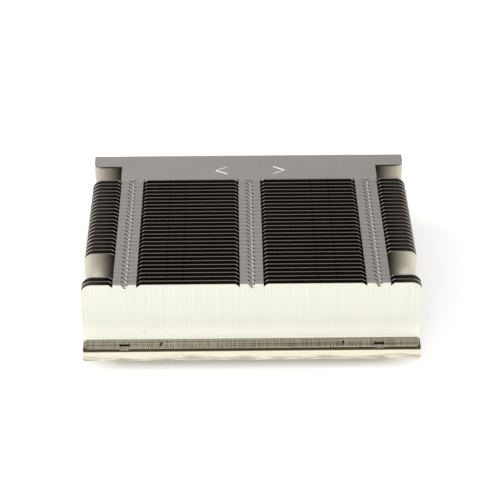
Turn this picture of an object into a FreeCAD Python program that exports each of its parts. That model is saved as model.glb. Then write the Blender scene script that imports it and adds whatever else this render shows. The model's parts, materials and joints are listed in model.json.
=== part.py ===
"""Passive 1U server CPU heatsink.

A flat aluminium base carries a stack of thin fins. Each fin is one folded sheet: a wall that runs
along X, a foot folded forward onto the base, and three top tabs folded forward to the next fin. A
tongue on each tab hooks through a V-shaped hole in the fold of the fin in front, so the stack locks
together. The front fin has a long foot that covers the base's shelf, and the rear fin has a wide top
plate. Four captive spring screws stand in open wells at the corners.

Frame: millimetres, +X along the fins and the airflow, -Y towards the front fin, +Z up. The origin is
in the middle of the footprint, on the surface that the four screw tips stand on.
"""
import FreeCAD, Part

import math
import os

V = FreeCAD.Vector

# Screw pattern of the processor socket, and the margins round it.
HOLE_SPACING_X = 94.0
HOLE_SPACING_Y = 56.0
HOLE_EDGE_MARGIN = 6.0       # from a screw's axis to the base's end
HOLE_SETBACK = 11.0          # from the front fin's face to the front screws
HOLE_REAR_MARGIN = 10.0      # from the rear screws to the rear fin's front face

# Base plate.
BASE_THICK = 3.4
BASE_CORNER_R = 0.8
SHELF_DEPTH = 5.95           # in front of the front fin
REAR_LEDGE = 1.05            # behind the rear fin
SCREW_HOLE_R = 2.8

# Fins.
FIN_HEIGHT = 21.2
FIN_PITCH = 2.2
SHEET = 0.4
FIN_CORNER_R = 3.3
SEAT_GAP = 0.05              # between a folded edge and the wall that it meets

# Top tabs and their interlock.
TAB_WIDTH = 7.3
RELIEF_WIDTH = 1.3           # relief notch beside a tab, at the top edge
RELIEF_DEPTH = 1.0
HOOK_HOLE_HALF = 1.25        # V-shaped hole over the fold, half its mouth
HOOK_HOLE_REACH = 1.4        # into the tab
HOOK_HOLE_DEPTH = 2.0        # down the wall
TONGUE_ROOT_HALF = 0.9
TONGUE_REACH = 1.4           # past the front face of the fin that it hooks
TONGUE_DROP = 0.8

# Wells round the screws.
WELL_SIDE_CLEARANCE = 0.45   # from a screw's head to the ends of the shortened fins
WELL_HALF_DEPTH = 4.9        # fins nearer to a screw's axis than this are shortened

# Front fin's long foot.
FOOT_REACH = 4.85
FOOT_THICK = 0.35
FOOT_STEP_REACH = 2.8        # the rear part of the foot is thicker
FOOT_STEP_THICK = 0.55
FOOT_END_INSET = 0.5
FOOT_CORNER_R = 1.4
FOOT_UNDERCUT = 0.22
WINDOW_OFFSET = 40.0         # window in each half of the foot
WINDOW_LENGTH = 2.9
WINDOW_WIDTH = 0.65
WINDOW_END_LENGTH = 1.5      # the cross slot at each end of a window
WINDOW_END_WIDTH = 0.3
FOOT_TONGUE_REACH = 0.5
LANCE_OFFSET = 28.6          # lanced mark in each half of the foot
LANCE_LENGTH = 2.1
LANCE_WIDTH = 0.55
LANCE_LEAN = 15.0            # degrees
SLIT_OFFSET = 3.9            # slits each side of a lanced mark
SLIT_WIDTH = 0.4
SLIT_DEPTH = 1.0

# Rear fin and its top plate.
COVER_SHEET = 0.6
PLATE_OVERHANG = 0.35        # sideways past the shortened fins
EAR_CLEARANCE = 0.3          # from a screw's head to the plate's ear
EAR_CORNER_R = 2.4

# Captive screws.
TIP_BELOW_BASE = 4.0
THREAD_R = 2.0
SHANK_R = 2.5
HEAD_R = 3.5
HEAD_HEIGHT = 2.6
SOCKET_R = 1.7               # of the hexagon, to its corners
SOCKET_DEPTH = 1.5
RING_THICK = 0.6
RING_OUTER_R = 3.8
RING_MOUTH = 2.8
RING_PLAY = 0.05             # above and below the ring, and round the groove
GROOVE_R = 1.6

# Springs.
SPRING_LENGTH = 9.0          # between the base and the screw's head, as assembled
WIRE_R = 0.4
SPRING_CLEARANCE = 0.1       # round the shank
SPRING_TURNS = 4.5
CLOSED_TURN_PITCH = 0.85
SPRING_STEPS = 8             # straight runs in a turn
WIRE_SIDES = 5

# What follows from them.
BASE_LENGTH = HOLE_SPACING_X + 2 * HOLE_EDGE_MARGIN
STACK_DEPTH = HOLE_SETBACK + HOLE_SPACING_Y + HOLE_REAR_MARGIN
BASE_DEPTH = SHELF_DEPTH + STACK_DEPTH + COVER_SHEET + REAR_LEDGE
BASE_BOTTOM = TIP_BELOW_BASE
BASE_TOP = BASE_BOTTOM + BASE_THICK
FIN_TOP = BASE_TOP + FIN_HEIGHT
FIN_COUNT = round(STACK_DEPTH / FIN_PITCH) + 1
PITCH = STACK_DEPTH / (FIN_COUNT - 1)
FRONT_Y = SHELF_DEPTH - BASE_DEPTH / 2
HOLE_X = HOLE_SPACING_X / 2
FRONT_HOLE_Y = FRONT_Y + HOLE_SETBACK
REAR_HOLE_Y = FRONT_HOLE_Y + HOLE_SPACING_Y
FULL_HALF = BASE_LENGTH / 2
SHORT_HALF = HOLE_X - HEAD_R - WELL_SIDE_CLEARANCE
TAB_X = SHORT_HALF - TAB_WIDTH / 2
FOLD_REACH = PITCH - SHEET - SEAT_GAP
CUT_MARGIN = 1.0             # cutting tools reach this far past what they cut


def prism(points, along):
    """Return the solid swept along a vector by the flat outline through the points."""
    return Part.Face(Part.makePolygon(points + points[:1])).extrude(along)


def box(x0, x1, y0, y1, z0, z1):
    """Return a box between two corners."""
    return Part.makeBox(x1 - x0, y1 - y0, z1 - z0, V(x0, y0, z0))


def round_edges(solid, radius, chosen):
    """Fillet the edges of a solid whose middle point passes the test."""
    edges = [edge for edge in solid.Edges if chosen(edge)]
    return solid.makeFillet(radius, edges)


def is_along(edge, direction):
    """Tell whether a straight edge runs along a direction."""
    ends = edge.Vertexes
    if len(ends) < 2:
        return False
    return (ends[1].Point - ends[0].Point).cross(direction).Length < 1e-6


def is_at(edge, x, z):
    """Tell whether an edge along Y lies at this height, x either side of the middle."""
    place = edge.CenterOfMass
    return is_along(edge, V(0, 1, 0)) and abs(abs(place.x) - x) < 1e-6 and abs(place.z - z) < 1e-6


def hole_centres():
    """Return the four screw axes by corner name: front or rear, left or right."""
    return {
        "front_left": (-HOLE_X, FRONT_HOLE_Y),
        "front_right": (HOLE_X, FRONT_HOLE_Y),
        "rear_left": (-HOLE_X, REAR_HOLE_Y),
        "rear_right": (HOLE_X, REAR_HOLE_Y),
    }


# ---------------------------------------------------------------- base plate

def base_plate():
    """Return the base: a flat plate with rounded corners and a clearance hole for each screw."""
    half_x, half_y = BASE_LENGTH / 2, BASE_DEPTH / 2
    plate = box(-half_x, half_x, -half_y, half_y, BASE_BOTTOM, BASE_TOP)
    plate = round_edges(plate, BASE_CORNER_R, lambda edge: is_along(edge, V(0, 0, 1)))
    for x, y in hole_centres().values():
        plate = plate.cut(Part.makeCylinder(SCREW_HOLE_R, BASE_THICK, V(x, y, BASE_BOTTOM)))
    return plate


# ---------------------------------------------------------------- fins

def top_edge(half):
    """Return the right half of a wall's top edge as (x, z), from its end to the middle tab's hook hole."""
    floor, apex = FIN_TOP - RELIEF_DEPTH, FIN_TOP - HOOK_HOLE_DEPTH
    outer, inner = TAB_X + TAB_WIDTH / 2, TAB_X - TAB_WIDTH / 2
    middle = TAB_WIDTH / 2
    points = []
    if half > outer + RELIEF_WIDTH:
        points += [(half, FIN_TOP), (outer + RELIEF_WIDTH, FIN_TOP), (outer, floor)]
    points += [(outer, FIN_TOP), (TAB_X + HOOK_HOLE_HALF, FIN_TOP), (TAB_X, apex),
               (TAB_X - HOOK_HOLE_HALF, FIN_TOP), (inner, FIN_TOP), (inner, floor),
               (inner - RELIEF_WIDTH, FIN_TOP), (middle + RELIEF_WIDTH, FIN_TOP), (middle, floor),
               (middle, FIN_TOP), (HOOK_HOLE_HALF, FIN_TOP)]
    return points


def wall(half):
    """Return a fin's wall with its relief notches and hook holes, front face at y = 0."""
    right = [(half, BASE_TOP)] + top_edge(half)
    left = [(-x, z) for x, z in reversed(right)]
    outline = [V(x, 0, z) for x, z in right + [(0, FIN_TOP - HOOK_HOLE_DEPTH)] + left]
    solid = prism(outline, V(0, SHEET, 0))
    if half > SHORT_HALF:
        solid = round_edges(solid, FIN_CORNER_R, lambda edge: is_at(edge, half, FIN_TOP))
    return solid


def foot(half):
    """Return a fin's foot, folded forward onto the base."""
    return box(-half, half, -FOLD_REACH, 0, BASE_TOP, BASE_TOP + SHEET)


def tongue(x, root_y):
    """Return a pointed tongue that leaves a folded edge and dips through the next wall's hook hole.

    Args:
        x: middle of the tongue.
        root_y: the folded edge that it grows from.
    """
    tip_y = root_y - (PITCH - FOLD_REACH) - TONGUE_REACH
    spike = [V(x - TONGUE_ROOT_HALF, root_y, FIN_TOP), V(x, tip_y, FIN_TOP - TONGUE_DROP),
             V(x + TONGUE_ROOT_HALF, root_y, FIN_TOP)]
    return prism(spike, V(0, 0, -SHEET))


def tab(x):
    """Return a top tab, folded forward, with its hook hole and its tongue."""
    low = FIN_TOP - SHEET
    leaf = [V(x - TAB_WIDTH / 2, 0, low), V(x - TAB_WIDTH / 2, -FOLD_REACH, low),
            V(x + TAB_WIDTH / 2, -FOLD_REACH, low), V(x + TAB_WIDTH / 2, 0, low),
            V(x + HOOK_HOLE_HALF, 0, low), V(x, -HOOK_HOLE_REACH, low), V(x - HOOK_HOLE_HALF, 0, low)]
    return prism(leaf, V(0, 0, SHEET)).fuse(tongue(x, -FOLD_REACH))


def folded_fin(half):
    """Return a fin with a foot and three locking tabs."""
    pieces = [foot(half)] + [tab(x) for x in (-TAB_X, 0, TAB_X)]
    return wall(half).multiFuse(pieces).removeSplitter()


def covered_fin(half):
    """Return a plain fin that stands under the rear fin's top plate."""
    top = FIN_TOP - COVER_SHEET
    blade = box(-half, half, 0, SHEET, BASE_TOP, top)
    return blade.fuse(foot(half)).removeSplitter()


def front_foot():
    """Return the front fin's long foot: a stepped leaf with windows, tongues, slits and lanced marks."""
    z = BASE_TOP
    half = FULL_HALF - FOOT_END_INSET
    section = [V(-half, -FOOT_REACH, z + FOOT_UNDERCUT), V(-half, -FOOT_REACH + FOOT_UNDERCUT, z),
               V(-half, 0, z), V(-half, 0, z + FOOT_STEP_THICK),
               V(-half, -FOOT_STEP_REACH, z + FOOT_STEP_THICK), V(-half, -FOOT_STEP_REACH, z + FOOT_THICK),
               V(-half, -FOOT_REACH, z + FOOT_THICK)]
    leaf = prism(section, V(2 * half, 0, 0))
    blank = box(-half, half, -FOOT_REACH, 0, z, z + FOOT_STEP_THICK)
    blank = round_edges(blank, FOOT_CORNER_R, lambda edge: is_along(edge, V(0, 0, 1))
                        and edge.CenterOfMass.y < -FOOT_STEP_REACH)
    leaf = leaf.common(blank)
    for side in (-1, 1):
        leaf = leaf.cut(foot_window(side * WINDOW_OFFSET))
        leaf = leaf.cut(lanced_mark(side * LANCE_OFFSET))
        for x in (side * LANCE_OFFSET - SLIT_OFFSET, side * LANCE_OFFSET + SLIT_OFFSET):
            leaf = leaf.cut(box(x - SLIT_WIDTH / 2, x + SLIT_WIDTH / 2, -FOOT_REACH - CUT_MARGIN,
                                SLIT_DEPTH - FOOT_REACH, z, z + FOOT_STEP_THICK))
        left, right = side * WINDOW_OFFSET - WINDOW_LENGTH / 2, side * WINDOW_OFFSET + WINDOW_LENGTH / 2
        leaf = leaf.fuse(box(left, right, -FOOT_REACH - FOOT_TONGUE_REACH, -FOOT_REACH + 2 * FOOT_UNDERCUT,
                             z, z + FOOT_THICK))
    return leaf


def foot_window(x):
    """Return the cutter for a window in the front foot: a long slot with a cross slot at each end."""
    low, high = BASE_TOP, BASE_TOP + FOOT_STEP_THICK
    middle = -FOOT_STEP_REACH - WINDOW_WIDTH / 2
    cutter = box(x - WINDOW_LENGTH / 2, x + WINDOW_LENGTH / 2, middle - WINDOW_WIDTH / 2,
                 middle + WINDOW_WIDTH / 2, low, high)
    for end in (x - WINDOW_LENGTH / 2, x + WINDOW_LENGTH / 2):
        cutter = cutter.fuse(box(end - WINDOW_END_WIDTH / 2, end + WINDOW_END_WIDTH / 2,
                                 middle - WINDOW_END_LENGTH / 2, middle + WINDOW_END_LENGTH / 2, low, high))
    return cutter


def lanced_mark(x):
    """Return the cutter for a slanted lanced slot in the front foot."""
    slot = box(-LANCE_WIDTH / 2, LANCE_WIDTH / 2, -LANCE_LENGTH / 2, LANCE_LENGTH / 2, 0, FOOT_STEP_THICK)
    slot.rotate(V(0, 0, 0), V(0, 0, 1), -LANCE_LEAN)
    slot.translate(V(x, -FOOT_STEP_REACH, BASE_TOP))
    return slot


def front_fin():
    """Return the front fin: no top tabs, its hook holes open at the top edge, and the long foot."""
    return wall(FULL_HALF).fuse(front_foot()).removeSplitter()


def rear_fin():
    """Return the rear fin: a heavier wall with a foot, and a top plate that covers the last fins.

    The plate reaches forward to the last locked fin. It is full width only behind the rear screws,
    so two ears are left beside a narrower tongue of plate, and it hooks the last locked fin too.
    """
    half = FULL_HALF
    blade = box(-half, half, 0, COVER_SHEET, BASE_TOP, FIN_TOP - COVER_SHEET)
    plate_front = fin_front(covered_fins()[0] - 1) + SHEET + SEAT_GAP - fin_front(FIN_COUNT - 1)
    ear_front = REAR_HOLE_Y + HEAD_R + EAR_CLEARANCE - fin_front(FIN_COUNT - 1)
    plate = box(-half, half, plate_front, COVER_SHEET, FIN_TOP - COVER_SHEET, FIN_TOP)
    inner = SHORT_HALF + PLATE_OVERHANG
    for side in (-1, 1):
        near, far = sorted((side * inner, side * (half + CUT_MARGIN)))
        plate = plate.cut(box(near, far, plate_front - CUT_MARGIN, ear_front, FIN_TOP - COVER_SHEET, FIN_TOP))
    plate = round_edges(plate, EAR_CORNER_R, lambda edge: is_along(edge, V(0, 0, 1))
                        and abs(edge.CenterOfMass.x) > half - EAR_CORNER_R and edge.CenterOfMass.y < 0)
    hooks = [tongue(x, plate_front) for x in (-TAB_X, 0, TAB_X)]
    return blade.multiFuse([foot(half), plate] + hooks).removeSplitter()


# ---------------------------------------------------------------- fin stack

def fin_front(index):
    """Return where a fin's front face stands along Y; fin 0 is the front one."""
    return FRONT_Y + index * PITCH


def is_short(index):
    """Tell whether a fin passes so near to the screws that its ends are left off."""
    y = fin_front(index)
    return any(hole_y - WELL_HALF_DEPTH < y + SHEET and y < hole_y + WELL_HALF_DEPTH
               for hole_y in (FRONT_HOLE_Y, REAR_HOLE_Y))


def covered_fins():
    """Return the indices of the fins that stand under the rear fin's top plate."""
    first = min(index for index in range(FIN_COUNT) if is_short(index) and fin_front(index) > FRONT_HOLE_Y
                + HOLE_SPACING_Y / 2)
    return list(range(first, FIN_COUNT - 1))


def fin_stack():
    """Return every fin in its place, by node name, from the front one to the rear one."""
    forms = {"full": folded_fin(FULL_HALF), "short": folded_fin(SHORT_HALF),
             "full covered": covered_fin(FULL_HALF), "short covered": covered_fin(SHORT_HALF)}
    covered = covered_fins()
    stack = {"front_fin": front_fin()}
    for index in range(1, FIN_COUNT - 1):
        form = ("short" if is_short(index) else "full") + (" covered" if index in covered else "")
        stack[f"fin_{index + 1:02d}"] = forms[form].copy()
    stack["rear_fin"] = rear_fin()
    for index, shape in enumerate(stack.values()):
        shape.translate(V(0, fin_front(index), 0))
    return stack


# ---------------------------------------------------------------- captive screws

def revolve(points):
    """Return the solid turned about Z from a half outline of (radius, z) points."""
    return Part.Face(Part.makePolygon([V(r, 0, z) for r, z in points + points[:1]])).revolve(
        V(0, 0, 0), V(0, 0, 1), 360)


def ring_bottom():
    """Return the height of the retaining ring's lower face."""
    return BASE_BOTTOM - RING_PLAY - RING_THICK


def screw():
    """Return a captive screw on the Z axis: thread, ring groove, shank, and a head with a hex socket."""
    head_low = BASE_TOP + SPRING_LENGTH
    head_high = head_low + HEAD_HEIGHT
    body = revolve([(0, 0), (THREAD_R, 0), (THREAD_R, ring_bottom() - RING_PLAY),
                    (GROOVE_R, ring_bottom() - RING_PLAY), (GROOVE_R, BASE_BOTTOM), (SHANK_R, BASE_BOTTOM),
                    (SHANK_R, head_low), (HEAD_R, head_low), (HEAD_R, head_high), (0, head_high)])
    corners = [math.radians(60 * side) for side in range(6)]
    socket = [V(SOCKET_R * math.cos(turn), SOCKET_R * math.sin(turn), head_high) for turn in corners]
    return body.cut(prism(socket, V(0, 0, -SOCKET_DEPTH)))


def retaining_ring():
    """Return the open retaining ring that keeps a screw in the base."""
    z = ring_bottom()
    ring = Part.makeCylinder(RING_OUTER_R, RING_THICK, V(0, 0, z))
    ring = ring.cut(Part.makeCylinder(GROOVE_R + RING_PLAY, RING_THICK, V(0, 0, z)))
    ring = ring.cut(box(-RING_MOUTH / 2, RING_MOUTH / 2, -RING_OUTER_R - CUT_MARGIN, 0, z, z + RING_THICK))
    return ring


def spring():
    """Return a compression spring with a closed turn at each end, standing on the base.

    The wire follows a helix in short straight runs, mitred where they meet.
    """
    coil_r = (SHANK_R + SPRING_CLEARANCE + WIRE_R) / math.cos(math.pi / SPRING_STEPS)
    low, high = BASE_TOP + WIRE_R, BASE_TOP + SPRING_LENGTH - WIRE_R
    steps = round(SPRING_TURNS * SPRING_STEPS)
    closed = [CLOSED_TURN_PITCH / SPRING_STEPS] * SPRING_STEPS
    open_steps = steps - 2 * SPRING_STEPS
    rises = closed + [(high - low - 2 * CLOSED_TURN_PITCH) / open_steps] * open_steps + closed
    path, z = [], low
    for step, rise in enumerate(rises + [0]):
        turn = 2 * math.pi * step / SPRING_STEPS
        path.append(V(coil_r * math.cos(turn), coil_r * math.sin(turn), z))
        z += rise
    along = path[1] - path[0]
    outward = V(1, 0, 0)
    upward = along.cross(outward).normalize()
    outward = upward.cross(along).normalize()
    corners = []
    for side in range(WIRE_SIDES):
        angle = 2 * math.pi * side / WIRE_SIDES
        corners.append(path[0] + outward * (WIRE_R * math.cos(angle)) + upward * (WIRE_R * math.sin(angle)))
    section = Part.makePolygon(corners + corners[:1])
    return Part.makePolygon(path).makePipeShell([section], True, False, 1)


def fixings():
    """Return a screw, ring and spring for each corner, by node name."""
    makers = {"screw": screw(), "retaining_ring": retaining_ring(), "spring": spring()}
    pieces = {}
    for corner, (x, y) in hole_centres().items():
        for kind, shape in makers.items():
            copy = shape.copy()
            copy.translate(V(x, y, 0))
            pieces[f"{kind}_{corner}"] = copy
    return pieces


def main():
    """Build every piece and write one STEP file for each."""
    os.makedirs("parts", exist_ok=True)
    pieces = {"base_plate": base_plate(), **fin_stack(), **fixings()}
    for name, shape in pieces.items():
        shape.exportStep(f"parts/{name}.step")
    print(len(pieces), "pieces,", sum(len(shape.Solids) for shape in pieces.values()), "solids")


if __name__ == "__main__":
    main()
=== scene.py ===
"""Finish, fine fixings and studio for the low passive server processor heatsink.

The solids come from the CAD frame and keep their places. This script gives them their bare metal
finishes, remakes the fins as folded sheet and the screws and springs in detail, and sets up a plain
studio. The frame's axes are +X along the fins, +Y to the rear fin and +Z up. Objects are in metres;
finishes and folded sheet are worked out in millimetres.
"""

from __future__ import annotations

import json
import logging
import math
from dataclasses import dataclass, field
from enum import Enum

import bmesh
import bpy
from bmesh.types import BMEdge, BMesh, BMVert
from bpy.types import Material, NodeSocket, NodeTree, Object
from mathutils import Matrix, Vector

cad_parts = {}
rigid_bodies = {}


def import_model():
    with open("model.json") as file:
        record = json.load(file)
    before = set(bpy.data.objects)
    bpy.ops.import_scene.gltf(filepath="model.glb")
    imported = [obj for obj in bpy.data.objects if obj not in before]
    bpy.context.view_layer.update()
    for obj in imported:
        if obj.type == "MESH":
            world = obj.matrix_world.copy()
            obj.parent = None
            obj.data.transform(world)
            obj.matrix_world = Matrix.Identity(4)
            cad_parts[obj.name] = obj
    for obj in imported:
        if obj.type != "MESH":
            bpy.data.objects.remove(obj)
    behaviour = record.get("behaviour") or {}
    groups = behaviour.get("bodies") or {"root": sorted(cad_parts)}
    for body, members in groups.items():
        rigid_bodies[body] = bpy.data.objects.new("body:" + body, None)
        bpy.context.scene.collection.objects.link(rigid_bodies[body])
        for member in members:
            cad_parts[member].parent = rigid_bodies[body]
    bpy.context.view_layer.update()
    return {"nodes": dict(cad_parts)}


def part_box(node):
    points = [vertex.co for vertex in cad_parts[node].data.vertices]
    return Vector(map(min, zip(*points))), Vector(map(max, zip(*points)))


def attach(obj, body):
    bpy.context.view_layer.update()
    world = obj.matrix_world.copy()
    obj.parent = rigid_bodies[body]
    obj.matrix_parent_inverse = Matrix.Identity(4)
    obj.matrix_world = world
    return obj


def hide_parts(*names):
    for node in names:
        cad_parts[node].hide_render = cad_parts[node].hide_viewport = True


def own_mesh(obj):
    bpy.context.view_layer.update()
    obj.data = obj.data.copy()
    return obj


LOG = logging.getLogger("heatsink")
MM = 0.001

Colour = tuple[float, float, float]
Outline = list[tuple[float, float]]

# Sizes and places in the frame that finishes and folded sheet share, in millimetres.
BASE_BOTTOM = 4.0
BASE_TOP = 7.4
FIN_TOP = 28.6
FRONT_FACE_Y = -36.35
TAB_X = 39.4
LANCE_X = 28.6
SLIT_OFFSET = 3.9
WINDOW_X = 40.0
WINDOW_HALF = 1.45


class Corner(Enum):
    """The four captive screws, by the corner that each stands in."""

    FRONT_LEFT = "front_left"
    FRONT_RIGHT = "front_right"
    REAR_LEFT = "rear_left"
    REAR_RIGHT = "rear_right"


class Slot(Enum):
    """The record's material slots for the remade pieces; this script does not use them."""

    FIN = "fin_aluminium"
    SCREW = "screw_steel"
    SPRING = "spring_steel"


# ---------------------------------------------------------------- shader maths

class Signal:
    """A shader value that Python expressions can be written on."""

    def __init__(self, recipe: Wiring, socket: NodeSocket) -> None:
        """Wrap one output socket of a recipe's node."""
        self.recipe = recipe
        self.socket = socket

    def _math(self, operation: str, *others: Signal | float, first: bool = True) -> Signal:
        """Add a Math node.

        Args:
            operation: the node's operation.
            others: the other operands.
            first: whether this signal is the first operand.

        Returns:
            The node's value.
        """
        operands = [self, *others] if first else [*others, self]
        inputs = {index: operand for index, operand in enumerate(operands)}
        return self.recipe.node("ShaderNodeMath", {"operation": operation}, inputs)

    def __add__(self, other: Signal | float) -> Signal:
        """Return the sum."""
        return self._math("ADD", other)

    __radd__ = __add__

    def __sub__(self, other: Signal | float) -> Signal:
        """Return the difference."""
        return self._math("SUBTRACT", other)

    def __rsub__(self, other: float) -> Signal:
        """Return the difference from a number."""
        return self._math("SUBTRACT", other, first=False)

    def __mul__(self, other: Signal | float) -> Signal:
        """Return the product."""
        return self._math("MULTIPLY", other)

    __rmul__ = __mul__

    def __abs__(self) -> Signal:
        """Return the size without its sign."""
        return self._math("ABSOLUTE")

    def __gt__(self, other: Signal | float) -> Signal:
        """Return 1 where this is more than the other."""
        return self._math("GREATER_THAN", other)

    def __lt__(self, other: Signal | float) -> Signal:
        """Return 1 where this is less than the other."""
        return self._math("LESS_THAN", other)

    def ramp(self, low: float, high: float) -> Signal:
        """Return 0 at low, 1 at high and a smooth step between them."""
        inputs = {0: self, 1: low, 2: high, 3: 0.0, 4: 1.0}
        return self.recipe.node("ShaderNodeMapRange", {"interpolation_type": "SMOOTHSTEP"}, inputs)


class Wiring:
    """A node tree, with short ways to add nodes."""

    def __init__(self, tree: NodeTree, coordinates: str) -> None:
        """Clear a tree and add its coordinates.

        Args:
            tree: the material's or the world's tree.
            coordinates: the texture coordinate that patterns follow.
        """
        self.tree = tree
        self.tree.nodes.clear()
        self.place = self.node("ShaderNodeTexCoord", output=coordinates)

    def node(self, kind: str, settings: dict | None = None, inputs: dict | None = None,
             output: int | str = 0) -> Signal | None:
        """Add any node.

        Args:
            kind: the node's type.
            settings: its properties, set before the inputs.
            inputs: values or signals by socket name or number.
            output: the socket that is returned.

        Returns:
            The chosen output, or nothing for an output node.
        """
        made = self.tree.nodes.new(kind)
        for key, value in (settings or {}).items():
            setattr(made, key, value)
        for key, value in (inputs or {}).items():
            self.feed(made.inputs[key], value)
        return Signal(self, made.outputs[output]) if made.outputs else None

    def split(self, vector: Signal) -> tuple[Signal, Signal, Signal]:
        """Return a vector's three parts."""
        outputs = self.node("ShaderNodeSeparateXYZ", None, {0: vector}).socket.node.outputs
        return tuple(Signal(self, part) for part in outputs)

    def feed(self, socket: NodeSocket, value: Signal | float | tuple) -> None:
        """Link a signal to a socket, or set the socket's own value."""
        if isinstance(value, Signal):
            self.tree.links.new(value.socket, socket)
        else:
            socket.default_value = value


class Recipe(Wiring):
    """A material's node tree round one Principled surface.

    It knows the object coordinates in millimetres, and how far the surface faces along Y and Z.
    """

    def __init__(self, name: str) -> None:
        """Make an empty material with one Principled surface."""
        self.material = bpy.data.materials.new(name)
        self.material.use_nodes = True
        super().__init__(self.material.node_tree, "Object")
        self.surface = self.tree.nodes.new("ShaderNodeBsdfPrincipled")
        output = self.tree.nodes.new("ShaderNodeOutputMaterial")
        self.tree.links.new(self.surface.outputs[0], output.inputs["Surface"])
        self.x, self.y, self.z = (part * (1.0 / MM) for part in self.split(self.place))
        _, self.back, self.up = self.split(self.node("ShaderNodeNewGeometry", output="Normal"))

    def noise(self, cell: tuple[float, float, float], detail: float = 2.0,
              offset: tuple[float, float, float] = (0.0, 0.0, 0.0)) -> Signal:
        """Return a noise of about 0 to 1.

        Args:
            cell: the size of one cell along X, Y and Z, in millimetres.
            detail: octaves of finer noise.
            offset: shift of the pattern, in cells.

        Returns:
            The noise value.
        """
        scale = tuple(1.0 / (MM * size) for size in cell)
        mapping = {"Vector": self.place, "Scale": scale, "Location": offset}
        vector = self.node("ShaderNodeMapping", None, mapping)
        return self.node("ShaderNodeTexNoise", None, {"Vector": vector, "Scale": 1.0, "Detail": detail})

    def blend(self, factor: Signal | float, first: Signal | tuple, second: Signal | tuple) -> Signal:
        """Return a colour between two colours."""
        inputs = {0: factor, 6: self._colour(first), 7: self._colour(second)}
        return self.node("ShaderNodeMix", {"data_type": "RGBA"}, inputs, 2)

    @staticmethod
    def _colour(value: Signal | tuple) -> Signal | tuple:
        """Return a signal as it is, or an RGB tuple with its alpha."""
        return value if isinstance(value, Signal) else (*value, 1.0)

    def bump(self, height: Signal, depth: float) -> Signal:
        """Return a surface direction bent by a height of 0 to 1 times a depth in millimetres."""
        inputs = {"Height": height, "Distance": depth * MM, "Strength": 1.0}
        return self.node("ShaderNodeBump", None, inputs)

    def dress(self, **sockets: Signal | float | tuple) -> Material:
        """Feed the Principled surface's sockets and return the material."""
        for name, value in sockets.items():
            self.feed(self.surface.inputs[name.replace("_", " ")], value)
        return self.material


# ---------------------------------------------------------------- finishes

def on_tabs(x: Signal, half: float) -> Signal:
    """Return 1 within a distance of the middle of one of the three rows of tabs."""
    return (abs(x) < half) + (abs(abs(x) - TAB_X) < half)


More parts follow.
